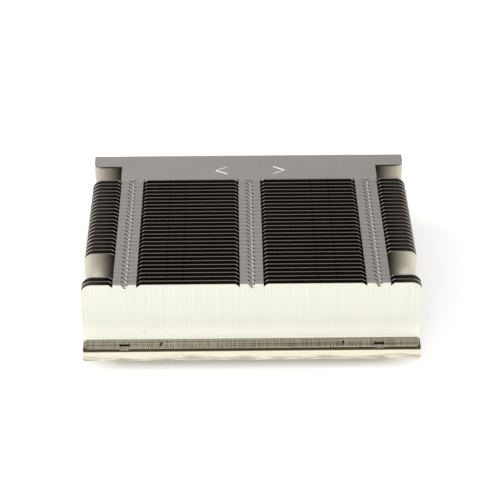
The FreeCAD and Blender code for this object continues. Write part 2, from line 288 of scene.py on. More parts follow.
@dataclass(frozen=True)
class BareSheet:
    """Bare rolled aluminium sheet: clean where it is open to view, with painted shade in the gaps between
    fins.
    """

    name: str = "bare_sheet"
    colour: Colour = (0.93, 0.893, 0.835)
    dull: Colour = (0.84, 0.806, 0.75)
    gap_shade: Colour = (0.045, 0.034, 0.025)
    end_gap_shade: Colour = (0.16, 0.135, 0.10)
    sheared: Colour = (0.50, 0.465, 0.42)
    wall: Colour = (0.90, 0.86, 0.70)
    roughness: float = 0.36
    satin_wall: float = 0.25
    tab_half: float = 3.7
    rim_depth: float = 0.42
    hook_half: float = 1.3
    hook_depth: float = 1.7
    well_reach: tuple[float, float] = (43.0, 50.0)
    end_reach: tuple[float, float] = (43.5, 50.0)
    open_faces: tuple[float, ...] = (-18.75, 36.25)
    nicks: tuple[float, ...] = (-26.5, -21.3, 20.6, 26.5)
    nick_half: float = 0.22
    slack: float = 0.1

    def _gap_wall(self, recipe: Recipe) -> Signal:
        """Return 1 on the walls between two fins, which take painted shade, and 0 on those that are open to
        view.
        """
        in_wells = sum(abs(recipe.y - place) < self.slack for place in self.open_faces)
        in_front = abs(recipe.y - FRONT_FACE_Y) < self.slack
        # The well faces take painted shade that grows towards their inner ends.
        shown = in_front + in_wells * abs(recipe.x).ramp(*self.well_reach)
        return (abs(recipe.back) > 0.75) * (1.0 - shown) * (1.0 - self._tab_rim(recipe))

    def _tab_rim(self, recipe: Recipe) -> Signal:
        """Return 1 on the tabs' clean sheared front edges, away from the hooks."""
        on_tab = on_tabs(recipe.x, self.tab_half) * (1.0 - on_tabs(recipe.x, self.hook_half))
        return (recipe.z > FIN_TOP - self.rim_depth) * on_tab

    def _cut_face(self, recipe: Recipe) -> Signal:
        """Return 1 on the steep cut faces of the tongues and hook holes."""
        near_top = recipe.z > FIN_TOP - self.hook_depth
        return (recipe.up < 0.3) * near_top * on_tabs(recipe.x, self.hook_half)

    def _sheared_edge(self, recipe: Recipe) -> Signal:
        """Return 1 on the sheared top edges beside the tabs."""
        at_top = (recipe.up > 0.9) * (recipe.z > FIN_TOP - self.slack)
        return (1.0 - on_tabs(recipe.x, self.tab_half)) * at_top

    def material(self) -> Material:
        """Return the material of the folded fins."""
        recipe = Recipe(self.name)
        on_wall = abs(recipe.back) > 0.5
        brushed = recipe.noise((0.7, 0.7, 30.0), 3.0)
        clouds = recipe.noise((9.0, 9.0, 9.0), 2.0, (3.0, 1.0, 7.0))
        shade = brushed.ramp(0.25, 0.75) * 0.4 + clouds.ramp(0.3, 0.7) * 0.6
        gap, edge = self._gap_wall(recipe), self._sheared_edge(recipe)
        tone = recipe.blend(shade, self.dull, self.colour)
        tone = recipe.blend(on_wall * 0.8, tone, self.wall)
        # Painted shade on the cut faces of the tongues and hook holes.
        tone = recipe.blend(self._cut_face(recipe) * 0.8, tone, self.gap_shade)
        # Painted shade in the gaps, lighter towards the fins' open ends.
        gap_shade = recipe.blend(abs(recipe.x).ramp(*self.end_reach), self.gap_shade, self.end_gap_shade)
        tone = recipe.blend(gap, tone, gap_shade)
        tone = recipe.blend(self._tab_rim(recipe) * on_wall, tone, self.sheared)
        tone = recipe.blend(edge, tone, self.sheared)
        # The nicks in the top edges are drawn as painted shade.
        nick = sum(abs(recipe.x - place) < self.nick_half for place in self.nicks)
        tone = recipe.blend(nick * edge * 0.45, tone, self.gap_shade)
        rough = gap * 0.15 + (shade * -0.05 + self.roughness)
        metal = 1.0 - on_wall * (1.0 - gap) * self.satin_wall
        return recipe.dress(Base_Color=tone, Metallic=metal, Roughness=rough,
                            Normal=recipe.bump(brushed, 0.003))


@dataclass(frozen=True)
class FrontSheet:
    """The front fin: a clean satin face with a few specks, painted paler towards its foot, over a ribbed
    foot in painted shade.
    """

    name: str = "front_sheet"
    colour: Colour = (0.765, 0.765, 0.67)
    dull: Colour = (0.73, 0.73, 0.635)
    painted_light_colour: Colour = (0.97, 0.965, 0.86)
    speck: Colour = (0.42, 0.41, 0.36)
    foot_light: Colour = (0.43, 0.395, 0.34)
    foot_dark: Colour = (0.13, 0.113, 0.09)
    rim: Colour = (0.80, 0.77, 0.66)
    hole_shade: Colour = (0.03, 0.025, 0.02)
    roughness: float = 0.5
    satin: float = 0.05
    low_reach: tuple[float, float] = (8.4, 15.0)
    speck_x: tuple[float, float] = (-35.0, -26.0)
    speck_z: tuple[float, float] = (9.5, 13.0)
    scuff_reach: tuple[float, float] = (-52.6, -50.0)
    foot_top: float = 8.1
    foot_back: float = FRONT_FACE_Y - 0.05
    punched_back: float = FRONT_FACE_Y - 0.6
    slit_y: float = -40.3
    slit_rim: float = 0.5
    rim_x: float = 52.35
    rim_y: float = -41.05

    def _punched(self, recipe: Recipe) -> Signal:
        """Return 1 on the cut sides of the foot's windows, slots and slits."""
        inside = (recipe.y > self.slit_y) * (recipe.y < self.punched_back)
        return (abs(recipe.up) < 0.3) * inside * (abs(recipe.x) < self.rim_x)

    def _specks(self, recipe: Recipe) -> Signal:
        """Return the mask of the small smudges near the foot and at the left end."""
        x, z = recipe.x, recipe.z
        blots = recipe.noise((1.1, 1.1, 1.1), 1.0, (2.0, 0.0, 5.0)).ramp(0.65, 0.74)
        (left, right), (low, high) = self.speck_x, self.speck_z
        near_foot = (x > left) * (x < right) * (z > low) * (z < high)
        scuffs = recipe.noise((0.5, 0.5, 1.2), 2.0, (7.0, 0.0, 1.0)).ramp(0.60, 0.72)
        left_end = 1.0 - x.ramp(*self.scuff_reach)
        return blots * near_foot * 0.7 + scuffs * left_end * 0.4

    def _foot_tone(self, recipe: Recipe) -> Signal:
        """Return the foot's tone: ribbed painted shade in bands, pale rims as painted highlights, black cut
        sides.
        """
        x, y = recipe.x, recipe.y
        ribs = recipe.noise((0.32, 9.0, 9.0), 2.0).ramp(0.38, 0.62)
        bands = recipe.noise((60.0, 0.5, 9.0), 1.0, (0.0, 0.4, 0.0)).ramp(0.38, 0.62)
        # The foot's dark tone is painted shade and its bands along the fin are painted reflections; the ribs
        # are grain.
        tone = recipe.blend(ribs * 0.45 + bands * 0.55, self.foot_dark, self.foot_light)
        off_tongue = abs(abs(x) - WINDOW_X) > WINDOW_HALF
        beside_slit = abs(abs(abs(x) - LANCE_X) - SLIT_OFFSET) < self.slit_rim
        rim = (y < self.rim_y) * off_tongue + (abs(x) > self.rim_x) + beside_slit * (y < self.slit_y)
        # Painted highlights: the foot's front edge, its ends and the slit sides stay pale.
        tone = recipe.blend(rim * 0.8, tone, self.rim)
        # Painted shade: the cut sides of the windows, slots and slits are near black.
        return recipe.blend(self._punched(recipe), tone, self.hole_shade)

    def material(self) -> Material:
        """Return the material of the front fin."""
        recipe = Recipe(self.name)
        foot = (recipe.z < self.foot_top) * (recipe.y < self.foot_back)
        brushed = recipe.noise((0.5, 0.5, 40.0), 3.0)
        tone = recipe.blend(brushed.ramp(0.3, 0.7), self.dull, self.colour)
        # Painted light: the face grows paler towards its foot.
        tone = recipe.blend(1.0 - recipe.z.ramp(*self.low_reach), tone, self.painted_light_colour)
        tone = recipe.blend(self._specks(recipe), tone, self.speck)
        tone = recipe.blend(foot, tone, self._foot_tone(recipe))
        metal = foot * (1.0 - self.satin) + self.satin
        rough = self.roughness - foot * 0.1
        return recipe.dress(Base_Color=tone, Metallic=metal, Roughness=rough,
                            Normal=recipe.bump(brushed, 0.003))


@dataclass(frozen=True)
class CoverSheet:
    """The rear fin's heavier sheet, with the double-headed airflow arrow engraved in its top."""

    name: str = "cover_sheet"
    colour: Colour = (0.94, 0.903, 0.845)
    dull: Colour = (0.88, 0.845, 0.79)
    groove_highlight: Colour = (0.98, 0.98, 0.97)
    faint_groove: Colour = (0.6, 0.6, 0.58)
    glint: Colour = (0.75, 0.74, 0.71)
    wall: Colour = (0.98, 0.94, 0.77)
    shaded: Colour = (0.20, 0.185, 0.15)
    roughness: float = 0.36
    satin_wall: float = 0.95
    rim_depth: float = 0.7
    ear_y: float = 29.0
    hook_half: float = 1.0
    hook_y: float = 25.6
    arrow_x: float = 0.42
    arrow_y: float = 31.5
    arrow_tip: float = 11.77
    arm_reach: float = 3.9
    arm_rise: float = 2.3
    stroke: float = 0.22
    shaft: tuple[float, float] = (0.06, 0.14)

    def _arrow(self, recipe: Recipe) -> tuple[Signal, Signal]:
        """Return the masks of the arrow's bright strokes, a painted highlight, and of its faint ones."""
        along, rise = recipe.x - self.arrow_x, recipe.y - self.arrow_y
        on_top = recipe.up > 0.5
        side = abs(along)
        slope = self.arm_rise / self.arm_reach
        wide = self.stroke * math.hypot(1.0, slope)
        ideal = (self.arrow_tip - side) * slope
        on_arm = 1.0 - abs(abs(rise) - ideal).ramp(wide * 0.6, wide * 1.3)
        in_reach = (side > self.arrow_tip - self.arm_reach) * (side < self.arrow_tip)
        on_arm = on_arm * in_reach * on_top
        # Painted highlight: the arms on one diagonal are brighter.
        lit = (along * rise) > 0.0
        on_shaft = (1.0 - abs(rise).ramp(*self.shaft)) * (side < self.arrow_tip) * on_top
        return on_arm * (lit * 0.5 + 0.5), on_shaft * 0.15 + on_arm * 0.25

    def material(self) -> Material:
        """Return the material of the rear fin."""
        recipe = Recipe(self.name)
        upright, rim = recipe.back < -0.5, recipe.z > FIN_TOP - self.rim_depth
        wall = upright * (1.0 - rim)
        ear_edge = upright * rim * (recipe.y > self.ear_y)
        hook = on_tabs(recipe.x, self.hook_half) * (recipe.y < self.hook_y)
        brushed = recipe.noise((0.8, 24.0, 24.0), 3.0)
        clouds = recipe.noise((14.0, 8.0, 14.0), 2.0, (1.0, 5.0, 2.0))
        shade = brushed.ramp(0.25, 0.75) * 0.4 + clouds.ramp(0.3, 0.7) * 0.6
        bright, faint = self._arrow(recipe)
        tone = recipe.blend(shade, self.dull, self.colour)
        tone = recipe.blend(bright, tone, self.groove_highlight)
        tone = recipe.blend(faint, tone, self.faint_groove)
        tone = recipe.blend(wall, tone, self.wall)
        tone = recipe.blend(ear_edge + hook, tone, self.shaded)
        # The arrow's painted highlight also glows in the glint colour.
        return recipe.dress(Base_Color=tone, Metallic=1.0 - wall * (1.0 - hook) * self.satin_wall,
                            Roughness=bright * 0.2 + self.roughness,
                            Emission_Color=recipe.blend(bright, (0.0, 0.0, 0.0), self.glint),
                            Emission_Strength=1.0)


@dataclass(frozen=True)
class SawnPlate:
    """The base's rolled plate: saw-cut edges, darker and streaked towards the bottom, and painted shadow
    with stain in front of the fin.
    """

    name: str = "sawn_plate"
    colour: Colour = (0.75, 0.72, 0.583)
    low_tone: Colour = (0.40, 0.37, 0.29)
    top_tone: Colour = (0.66, 0.60, 0.48)
    foot_shade_and_stain: Colour = (0.10, 0.08, 0.045)
    foot_back: float = -35.5
    roughness: float = 0.38

    def material(self) -> Material:
        """Return the material of the base plate."""
        recipe = Recipe(self.name)
        height = (recipe.z - BASE_BOTTOM) * (1.0 / (BASE_TOP - BASE_BOTTOM))
        streaks = recipe.noise((7.0, 7.0, 0.5), 3.0)
        waves = recipe.noise((16.0, 16.0, 3.0), 1.0, (4.0, 2.0, 0.0))
        # The edges grow darker and streaked towards the bottom.
        low = 1.0 - (height + (waves - 0.5) * 1.3).ramp(0.15, 0.6)
        low_streaks = low * (streaks.ramp(0.40, 0.58) * 0.75 + 0.12) * (abs(recipe.up) < 0.5)
        tone = recipe.blend(low_streaks, self.colour, self.low_tone)
        on_top = recipe.up > 0.7
        tone = recipe.blend(on_top * 0.85, tone, self.top_tone)
        # Painted shadow of the front fin's foot, with stain, on the plate's top in front of the fin.
        tone = recipe.blend(on_top * (recipe.y < self.foot_back) * 0.95, tone, self.foot_shade_and_stain)
        rough = low_streaks * 0.15 + self.roughness
        bend = recipe.bump(streaks, 0.012)
        return recipe.dress(Base_Color=tone, Metallic=1.0, Roughness=rough, Normal=bend)


@dataclass(frozen=True)
class PlainSteel:
    """Plated or drawn steel for the small fixings."""

    name: str
    colour: Colour
    roughness: float

    def material(self) -> Material:
        """Return the steel's material."""
        recipe = Recipe(self.name)
        mottle = recipe.noise((1.4, 1.4, 1.4), 2.0)
        rough = mottle * 0.12 + (self.roughness - 0.06)
        return recipe.dress(Base_Color=(*self.colour, 1.0), Metallic=1.0, Roughness=rough)


# ---------------------------------------------------------------- modelling helpers

def finish_mesh(mesh: BMesh, name: str, material: Material, smooth: float) -> Object:
    """Turn a bmesh into a finished object at the origin.

    Args:
        mesh: the bmesh, which is freed.
        name: the object's name.
        material: its finish.
        smooth: the angle in degrees under which faces share their shading.

    Returns:
        The object.
    """
    bmesh.ops.remove_doubles(mesh, verts=mesh.verts, dist=1e-6)
    bmesh.ops.recalc_face_normals(mesh, faces=mesh.faces)
    for edge in mesh.edges:
        edge.smooth = len(edge.link_faces) == 2 and edge.calc_face_angle(0.0) < math.radians(smooth)
    for face in mesh.faces:
        face.smooth = True
    data = bpy.data.meshes.new(name)
    mesh.to_mesh(data)
    mesh.free()
    data.materials.append(material)
    made = bpy.data.objects.new(name, data)
    bpy.context.scene.collection.objects.link(made)
    return made


def lathe(mesh: BMesh, profile: Outline, steps: int) -> None:
    """Spin a profile of (radius, height) points about Z into a closed surface."""
    verts = [mesh.verts.new((radius, 0.0, height)) for radius, height in profile]
    edges = [mesh.edges.new(pair) for pair in zip(verts, verts[1:])]
    bmesh.ops.spin(mesh, geom=verts + edges, cent=(0, 0, 0), axis=(0, 0, 1), dvec=(0, 0, 0),
                   angle=math.tau, steps=steps, use_merge=True)
    bmesh.ops.remove_doubles(mesh, verts=mesh.verts, dist=1e-6)


def sweep_helix(mesh: BMesh, section: Outline, stretches: list[tuple[float, float]], steps: int) -> None:
    """Sweep a closed section of (radius, height) points along a helix about Z.

    Args:
        mesh: where the coil is added.
        section: the section's points, in the XZ plane.
        stretches: (turns, rise) of each stretch, from the bottom up.
        steps: sections in one turn.
    """
    verts = [mesh.verts.new((radius, 0.0, height)) for radius, height in section]
    first = mesh.faces.new(verts)
    front: list = [first, *verts, *first.edges]
    for turns, rise in stretches:
        count = max(1, round(turns * steps))
        swept = bmesh.ops.spin(mesh, geom=front, cent=(0, 0, 0), axis=(0, 0, 1),
                               dvec=(0, 0, rise / count), angle=math.tau * turns, steps=count)
        front = swept["geom_last"]


def crease(mesh: BMesh, place: tuple[float, float, float], across: tuple[float, float, float]) -> None:
    """Cut all the faces of a mesh where they cross a plane."""
    everything = mesh.verts[:] + mesh.edges[:] + mesh.faces[:]
    bmesh.ops.bisect_plane(mesh, geom=everything, dist=1e-5, plane_co=place, plane_no=across)


# ---------------------------------------------------------------- folded sheet

@dataclass
class FoldedFin:
    """A locking fin, cut as a flat blank, folded, and thickened into sheet.

    The blank lies in (x, s): s runs down the wall from the top fold's outer corner, and is negative
    along the tabs. Sizes are millimetres.
    """

    half: float
    sheet: float = 0.4
    reach: float = 1.75
    fold: float = 0.42
    tab_fold: float = 0.3
    corner: float = 3.3
    tab_x: tuple[float, ...] = (-TAB_X, 0.0, TAB_X)
    tab_width: float = 7.3
    relief: float = 1.3
    relief_depth: float = 1.0
    hole_half: float = 1.22
    hole_reach: float = 1.12
    slot_half: float = 0.42
    slot_depth: float = 1.2
    slot_taper: float = 0.45
    slot_tip: float = 0.25
    tongue_half: float = 0.70
    tongue_flat: float = 0.45
    tongue_crease: float = 0.60
    tongue_dip: float = 0.75
    tip_left: float = 0.08
    tip_right: float = 0.45
    shoulder: float = 0.42
    twist: tuple[float, float] = (0.08, 0.2)
    dip_angle: float = 33.0
    corner_steps: int = 8
    fold_steps: int = 4
    weld: float = 0.04

    def height(self) -> float:
        """Return the fin's height between its outer corners."""
        return FIN_TOP - BASE_TOP

    def quarter_turn(self) -> list[float]:
        """Return the angles of a rounded corner's points, from 0 to a right angle."""
        return [math.pi / 2 * step / self.corner_steps for step in range(self.corner_steps + 1)]

    def rounded_end(self) -> Outline:
        """Return the right top corner's arc, from the end up to the top edge."""
        return [(self.half - self.corner * (1 - math.cos(turn)), self.corner * (1 - math.sin(turn)))
                for turn in self.quarter_turn()]

    def tab_outline(self, x: float) -> Outline:
        """Return one tab and its tongue, from its right side to its left side."""
        side, root = self.tab_width / 2, self.tongue_half
        front = -self.sheet - self.reach
        flat = front - self.tongue_flat
        tip = flat - self.tongue_dip
        points = [(side, front), (root, front), (root, flat), (root, flat - self.shoulder),
                  (self.tip_right, tip), (self.tip_left, tip), (-root, flat), (-root, front), (-side, front)]
        return [(x + across, s) for across, s in points]

    def relief_outline(self, x: float, outwards: int) -> Outline:
        """Return the relief notch beside a tab, from the top edge to the tab's side."""
        side = x + outwards * self.tab_width / 2
        return [(side + outwards * self.relief, 0.0), (side, self.relief_depth)]

    def outline(self) -> Outline:
        """Return the blank's outline, from its lower right corner round to its lower left one.

        A short fin ends at its outer tabs' sides, and has no rounded ends or notches there.
        """
        foot = self.height() + self.sheet + self.reach
        full = self.half > self.tab_x[-1] + self.tab_width / 2 + self.relief
        ends = self.rounded_end() if full else []
        points = [(self.half, foot), *ends]
        for x in reversed(self.tab_x):
            right = self.relief_outline(x, 1) if full or x < self.tab_x[-1] else []
            left = self.relief_outline(x, -1) if full or x > self.tab_x[0] else []
            points += [*right, *self.tab_outline(x), *reversed(left)]
        return points + [(-x, s) for x, s in reversed(ends)] + [(-self.half, foot)]

    def slot_outline(self, x: float, mouth: float) -> Outline:
        """Return the narrow slot down the wall, from the right end of its mouth to the left end.

        Args:
            x: the middle of the slot.
            mouth: where its sides start to close, as a value of s.
        """
        side, low = self.slot_half, self.slot_depth
        right = [(self.hole_half, mouth), (side, mouth + self.slot_taper), (side, low - self.slot_tip),
                 (side / 2, low)]
        return [(x + across, s) for across, s in right] + [(x - across, s) for across, s in reversed(right)]

    def holes(self) -> list[Outline]:
        """Return the hook holes, one at each tab: a V in the tab, and a slot down the wall."""
        fold_line = -self.sheet
        return [[(x, fold_line - self.hole_reach), *self.slot_outline(x, fold_line)] for x in self.tab_x]

    def fold_creases(self, corner: float, fold: float) -> list[float]:
        """Return the creases that round a fold, as values of s."""
        steps = range(-self.fold_steps, self.fold_steps + 1)
        return [corner + fold * step / self.fold_steps for step in steps]

    def bends(self) -> list[float]:
        """Return where the blank has to be creased across, as values of s."""
        front = -self.sheet - self.reach
        folds = self.fold_creases(0.0, self.tab_fold) + self.fold_creases(self.height(), self.fold)
        return folds + [front - self.tongue_crease, front]

    def folds_over(self, x: float) -> bool:
        """Return whether the top edge folds over at a place along the fin, into a tab."""
        return any(abs(x - tab) <= self.tab_width / 2 + 1e-4 for tab in self.tab_x)

    def place(self, x: float, s: float) -> tuple[float, float, float]:
        """Return where a point of the blank goes when the sheet is folded."""
        height, fold = self.height(), self.fold
        if s > height - fold:
            y, rise = self.round_fold(s - height, fold)
            return x, y, BASE_TOP + rise
        if s < self.tab_fold and self.folds_over(x):
            y, rise = self.round_fold(-s, self.tab_fold)
            past = -self.sheet - self.reach - self.tongue_crease - s
            if past > 0:
                aside = min((x - tab for tab in self.tab_x), key=abs)
                start, end = self.twist
                turned = max(0.0, min(1.0, (aside - start) / (end - start)))
                rise += past * math.tan(math.radians(self.dip_angle)) * turned
            return x, y, FIN_TOP - rise
        return x, self.sheet, FIN_TOP - s

    def round_fold(self, past: float, fold: float) -> tuple[float, float]:
        """Follow a rounded right-angle fold.

        Args:
            past: distance past the fold's outer corner; negative is still on the wall.
            fold: the fold's outer radius.

        Returns:
            The point's Y, and its distance from the folded leg's outer face.
        """
        if past >= fold:
            return self.sheet - past, 0.0
        if past <= -fold:
            return self.sheet, -past
        turn = (past + fold) / (2 * fold) * math.pi / 2
        return self.sheet - fold * (1 - math.cos(turn)), fold * (1 - math.sin(turn))

    def mesh(self) -> BMesh:
        """Cut, crease, fold and thicken the blank.

        Points that the creases leave closer than the weld distance merge before it folds.

        Returns:
            The fin as a bmesh, in metres, with its wall's front face at y = 0.
        """
        mesh = bmesh.new()
        edges = []
        for loop in [self.outline(), *self.holes()]:
            verts = [mesh.verts.new((x, s, 0.0)) for x, s in loop]
            edges += [mesh.edges.new(pair) for pair in zip(verts, verts[1:] + verts[:1])]
        bmesh.ops.triangle_fill(mesh, use_beauty=True, use_dissolve=False, edges=edges, normal=(0, 0, 1))
        for bend in self.bends():
            crease(mesh, (0, bend, 0), (0, 1, 0))
        for x in self.tab_x:
            for aside in (-self.tab_width / 2, *self.twist, self.tab_width / 2):
                crease(mesh, (x + aside, 0, 0), (1, 0, 0))
        bmesh.ops.remove_doubles(mesh, verts=mesh.verts, dist=self.weld)
        for vert in mesh.verts:
            vert.co = self.place(vert.co.x, vert.co.y)
        bmesh.ops.recalc_face_normals(mesh, faces=mesh.faces)
        probe = max(mesh.faces, key=lambda face: face.calc_area())
        if probe.normal.y < 0:
            bmesh.ops.reverse_faces(mesh, faces=mesh.faces)
        bmesh.ops.solidify(mesh, geom=mesh.faces[:], thickness=self.sheet)
        bmesh.ops.scale(mesh, verts=mesh.verts, vec=(MM, MM, MM))
        return mesh


@dataclass
class FrontFin(FoldedFin):
    """The front fin: no tabs, slots open at its top edge, and a long stepped foot with windows."""

    foot_reach: float = 4.85
    foot_inset: float = 0.5
    foot_corner: float = 1.4
    window_y: float = 3.12
    window_width: float = 0.9
    cross_half: float = 0.85
    cross_width: float = 0.4
    tongue_reach: float = 0.5
    lance_y: float = 2.8
    lance_length: float = 2.1
    lance_width: float = 0.6
    lance_lean: float = 15.0
    slit_width: float = 0.4
    slit_depth: float = 1.0
    step_reach: float = 2.8
    step_run: float = 0.05
    step_rise: float = 0.15
    undercut: float = 0.22
    slack: float = 0.03

    def on_foot(self, ahead: float) -> float:
        """Return the value of s at a distance in front of the wall's front face."""
        return self.height() + self.sheet + ahead

    def foot_edge(self) -> Outline:
        """Return the right half of the foot's outline, from the middle of its front edge to its fold."""
        front, half = self.foot_reach, self.half - self.foot_inset
        points = []
        for middle, aside, reach in ((LANCE_X - SLIT_OFFSET, self.slit_width / 2, -self.slit_depth),
                                     (LANCE_X + SLIT_OFFSET, self.slit_width / 2, -self.slit_depth),
                                     (WINDOW_X, WINDOW_HALF, self.tongue_reach)):
            left, right = middle - aside, middle + aside
            points += [(left, front), (left, front + reach), (right, front + reach), (right, front)]
        round_off = self.foot_corner
        points += [(half - round_off * (1 - math.sin(turn)), front - round_off * (1 - math.cos(turn)))
                   for turn in self.quarter_turn()]
        points += [(half, 0.0), (self.half, 0.0)]
        return [(x, self.on_foot(ahead)) for x, ahead in points]

    def outline(self) -> Outline:
        """Return the blank's outline, from the middle of the foot round to where it started."""
        side = self.tab_width / 2
        right = self.foot_edge() + self.rounded_end() + self.relief_outline(TAB_X, 1)
        right += [(TAB_X + side, 0.0), *self.slot_outline(TAB_X, 0.0), (TAB_X - side, 0.0)]
        right += [*reversed(self.relief_outline(TAB_X, -1)), *self.relief_outline(0.0, 1), (side, 0.0)]
        return right + self.slot_outline(0.0, 0.0) + [(-x, s) for x, s in reversed(right)]

    def holes(self) -> list[Outline]:
        """Return the foot's windows and its slanted lanced slots."""
        pairs = [(self.window(side * WINDOW_X), self.lance(side * LANCE_X)) for side in (-1, 1)]
        return [cut for pair in pairs for cut in pair]

    def window(self, x: float) -> Outline:
        """Return a window: a long slot with a cross slot at each end."""
        inner, outer = WINDOW_HALF - self.cross_width / 2, WINDOW_HALF + self.cross_width / 2
        narrow, wide = self.window_width / 2, self.cross_half
        quarter = [(inner, narrow), (inner, wide), (outer, wide)]
        right = quarter + [(across, -along) for across, along in reversed(quarter)]
        points = right + [(-across, -along) for across, along in right]
        return [(x + across, self.on_foot(self.window_y + along)) for across, along in points]

    def lance(self, x: float) -> Outline:
        """Return a slanted lanced slot."""
        lean = math.radians(self.lance_lean)
        half, wide = self.lance_length / 2, self.lance_width / 2
        corners = [(wide, half), (wide, -half), (-wide, -half), (-wide, half)]
        return [(x + across * math.cos(lean) - along * math.sin(lean),
                 self.on_foot(self.lance_y + across * math.sin(lean) + along * math.cos(lean)))
                for across, along in corners]

    def bends(self) -> list[float]:
        """Return where the blank has to be creased across, as values of s."""
        step = [self.on_foot(self.step_reach), self.on_foot(self.step_reach + self.step_run)]
        return self.fold_creases(self.height(), self.fold) + step

    def folds_over(self, x: float) -> bool:
        """Return False, since this fin has no tabs."""
        return False

    def mesh(self) -> BMesh:
        """Fold the sheet, thicken the rear part of its foot, and undercut the foot's front edge.

        Returns:
            The fin as a bmesh, in metres, with its wall's front face at y = 0.
        """
        mesh = super().mesh()
        slack = self.slack
        for vert in mesh.verts:
            ahead, rise = -vert.co.y / MM, vert.co.z / MM - BASE_TOP
            if -slack < ahead < self.step_reach + slack and self.sheet / 2 < rise < self.sheet + slack:
                vert.co.z += self.step_rise * MM
            if rise < slack and abs(ahead - self.foot_reach) < slack:
                vert.co.y += self.undercut * MM
        return mesh


# ---------------------------------------------------------------- the heatsink's parts

@dataclass
class FinStack:
    """The front fin and the locking fins, remade as folded sheet in place of their plain solids."""

    nodes: dict[str, Object]
    finish: Material
    front_finish: Material
    full_half: float = 53.0
    short_half: float = 43.05
    cover_sheet: float = 0.6

    def build(self) -> list[Object]:
        """Build the front fin and each locking fin."""
        made = [self.front_fin()]
        for name in sorted(self.nodes):
            if name.startswith("fin_"):
                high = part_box(name)[1]
                if high.z > (FIN_TOP - self.cover_sheet / 2) * MM:
                    made.append(self.fin(name, high))
        return made

    def front_fin(self) -> Object:
        """Build the front fin over its CAD node."""
        fin = FrontFin(self.full_half)
        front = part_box("front_fin")[1].y - fin.sheet * MM
        return self.seat(fin, "front_fin", front, self.front_finish)

    def fin(self, name: str, high: Vector) -> Object:
        """Build one locking fin over its CAD node."""
        full = high.x > (self.full_half + self.short_half) / 2 * MM
        fin = FoldedFin(self.full_half if full else self.short_half)
        return self.seat(fin, name, high.y - fin.sheet * MM, self.finish)

    @staticmethod
    def seat(fin: FoldedFin, name: str, front: float, finish: Material) -> Object:
        """Put a folded fin where its CAD node stands.

        Args:
            fin: the fin.
            name: its CAD node.
            front: where the front face of its wall stands along Y, in metres.
            finish: its material.

        Returns:
            The fin's object.
        """
        mesh = fin.mesh()
        bmesh.ops.translate(mesh, verts=mesh.verts, vec=(0, front, 0))
        made = finish_mesh(mesh, f"folded_{name}", finish, smooth=35.0)
        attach(made, "heatsink")
        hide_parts(name)
        return made


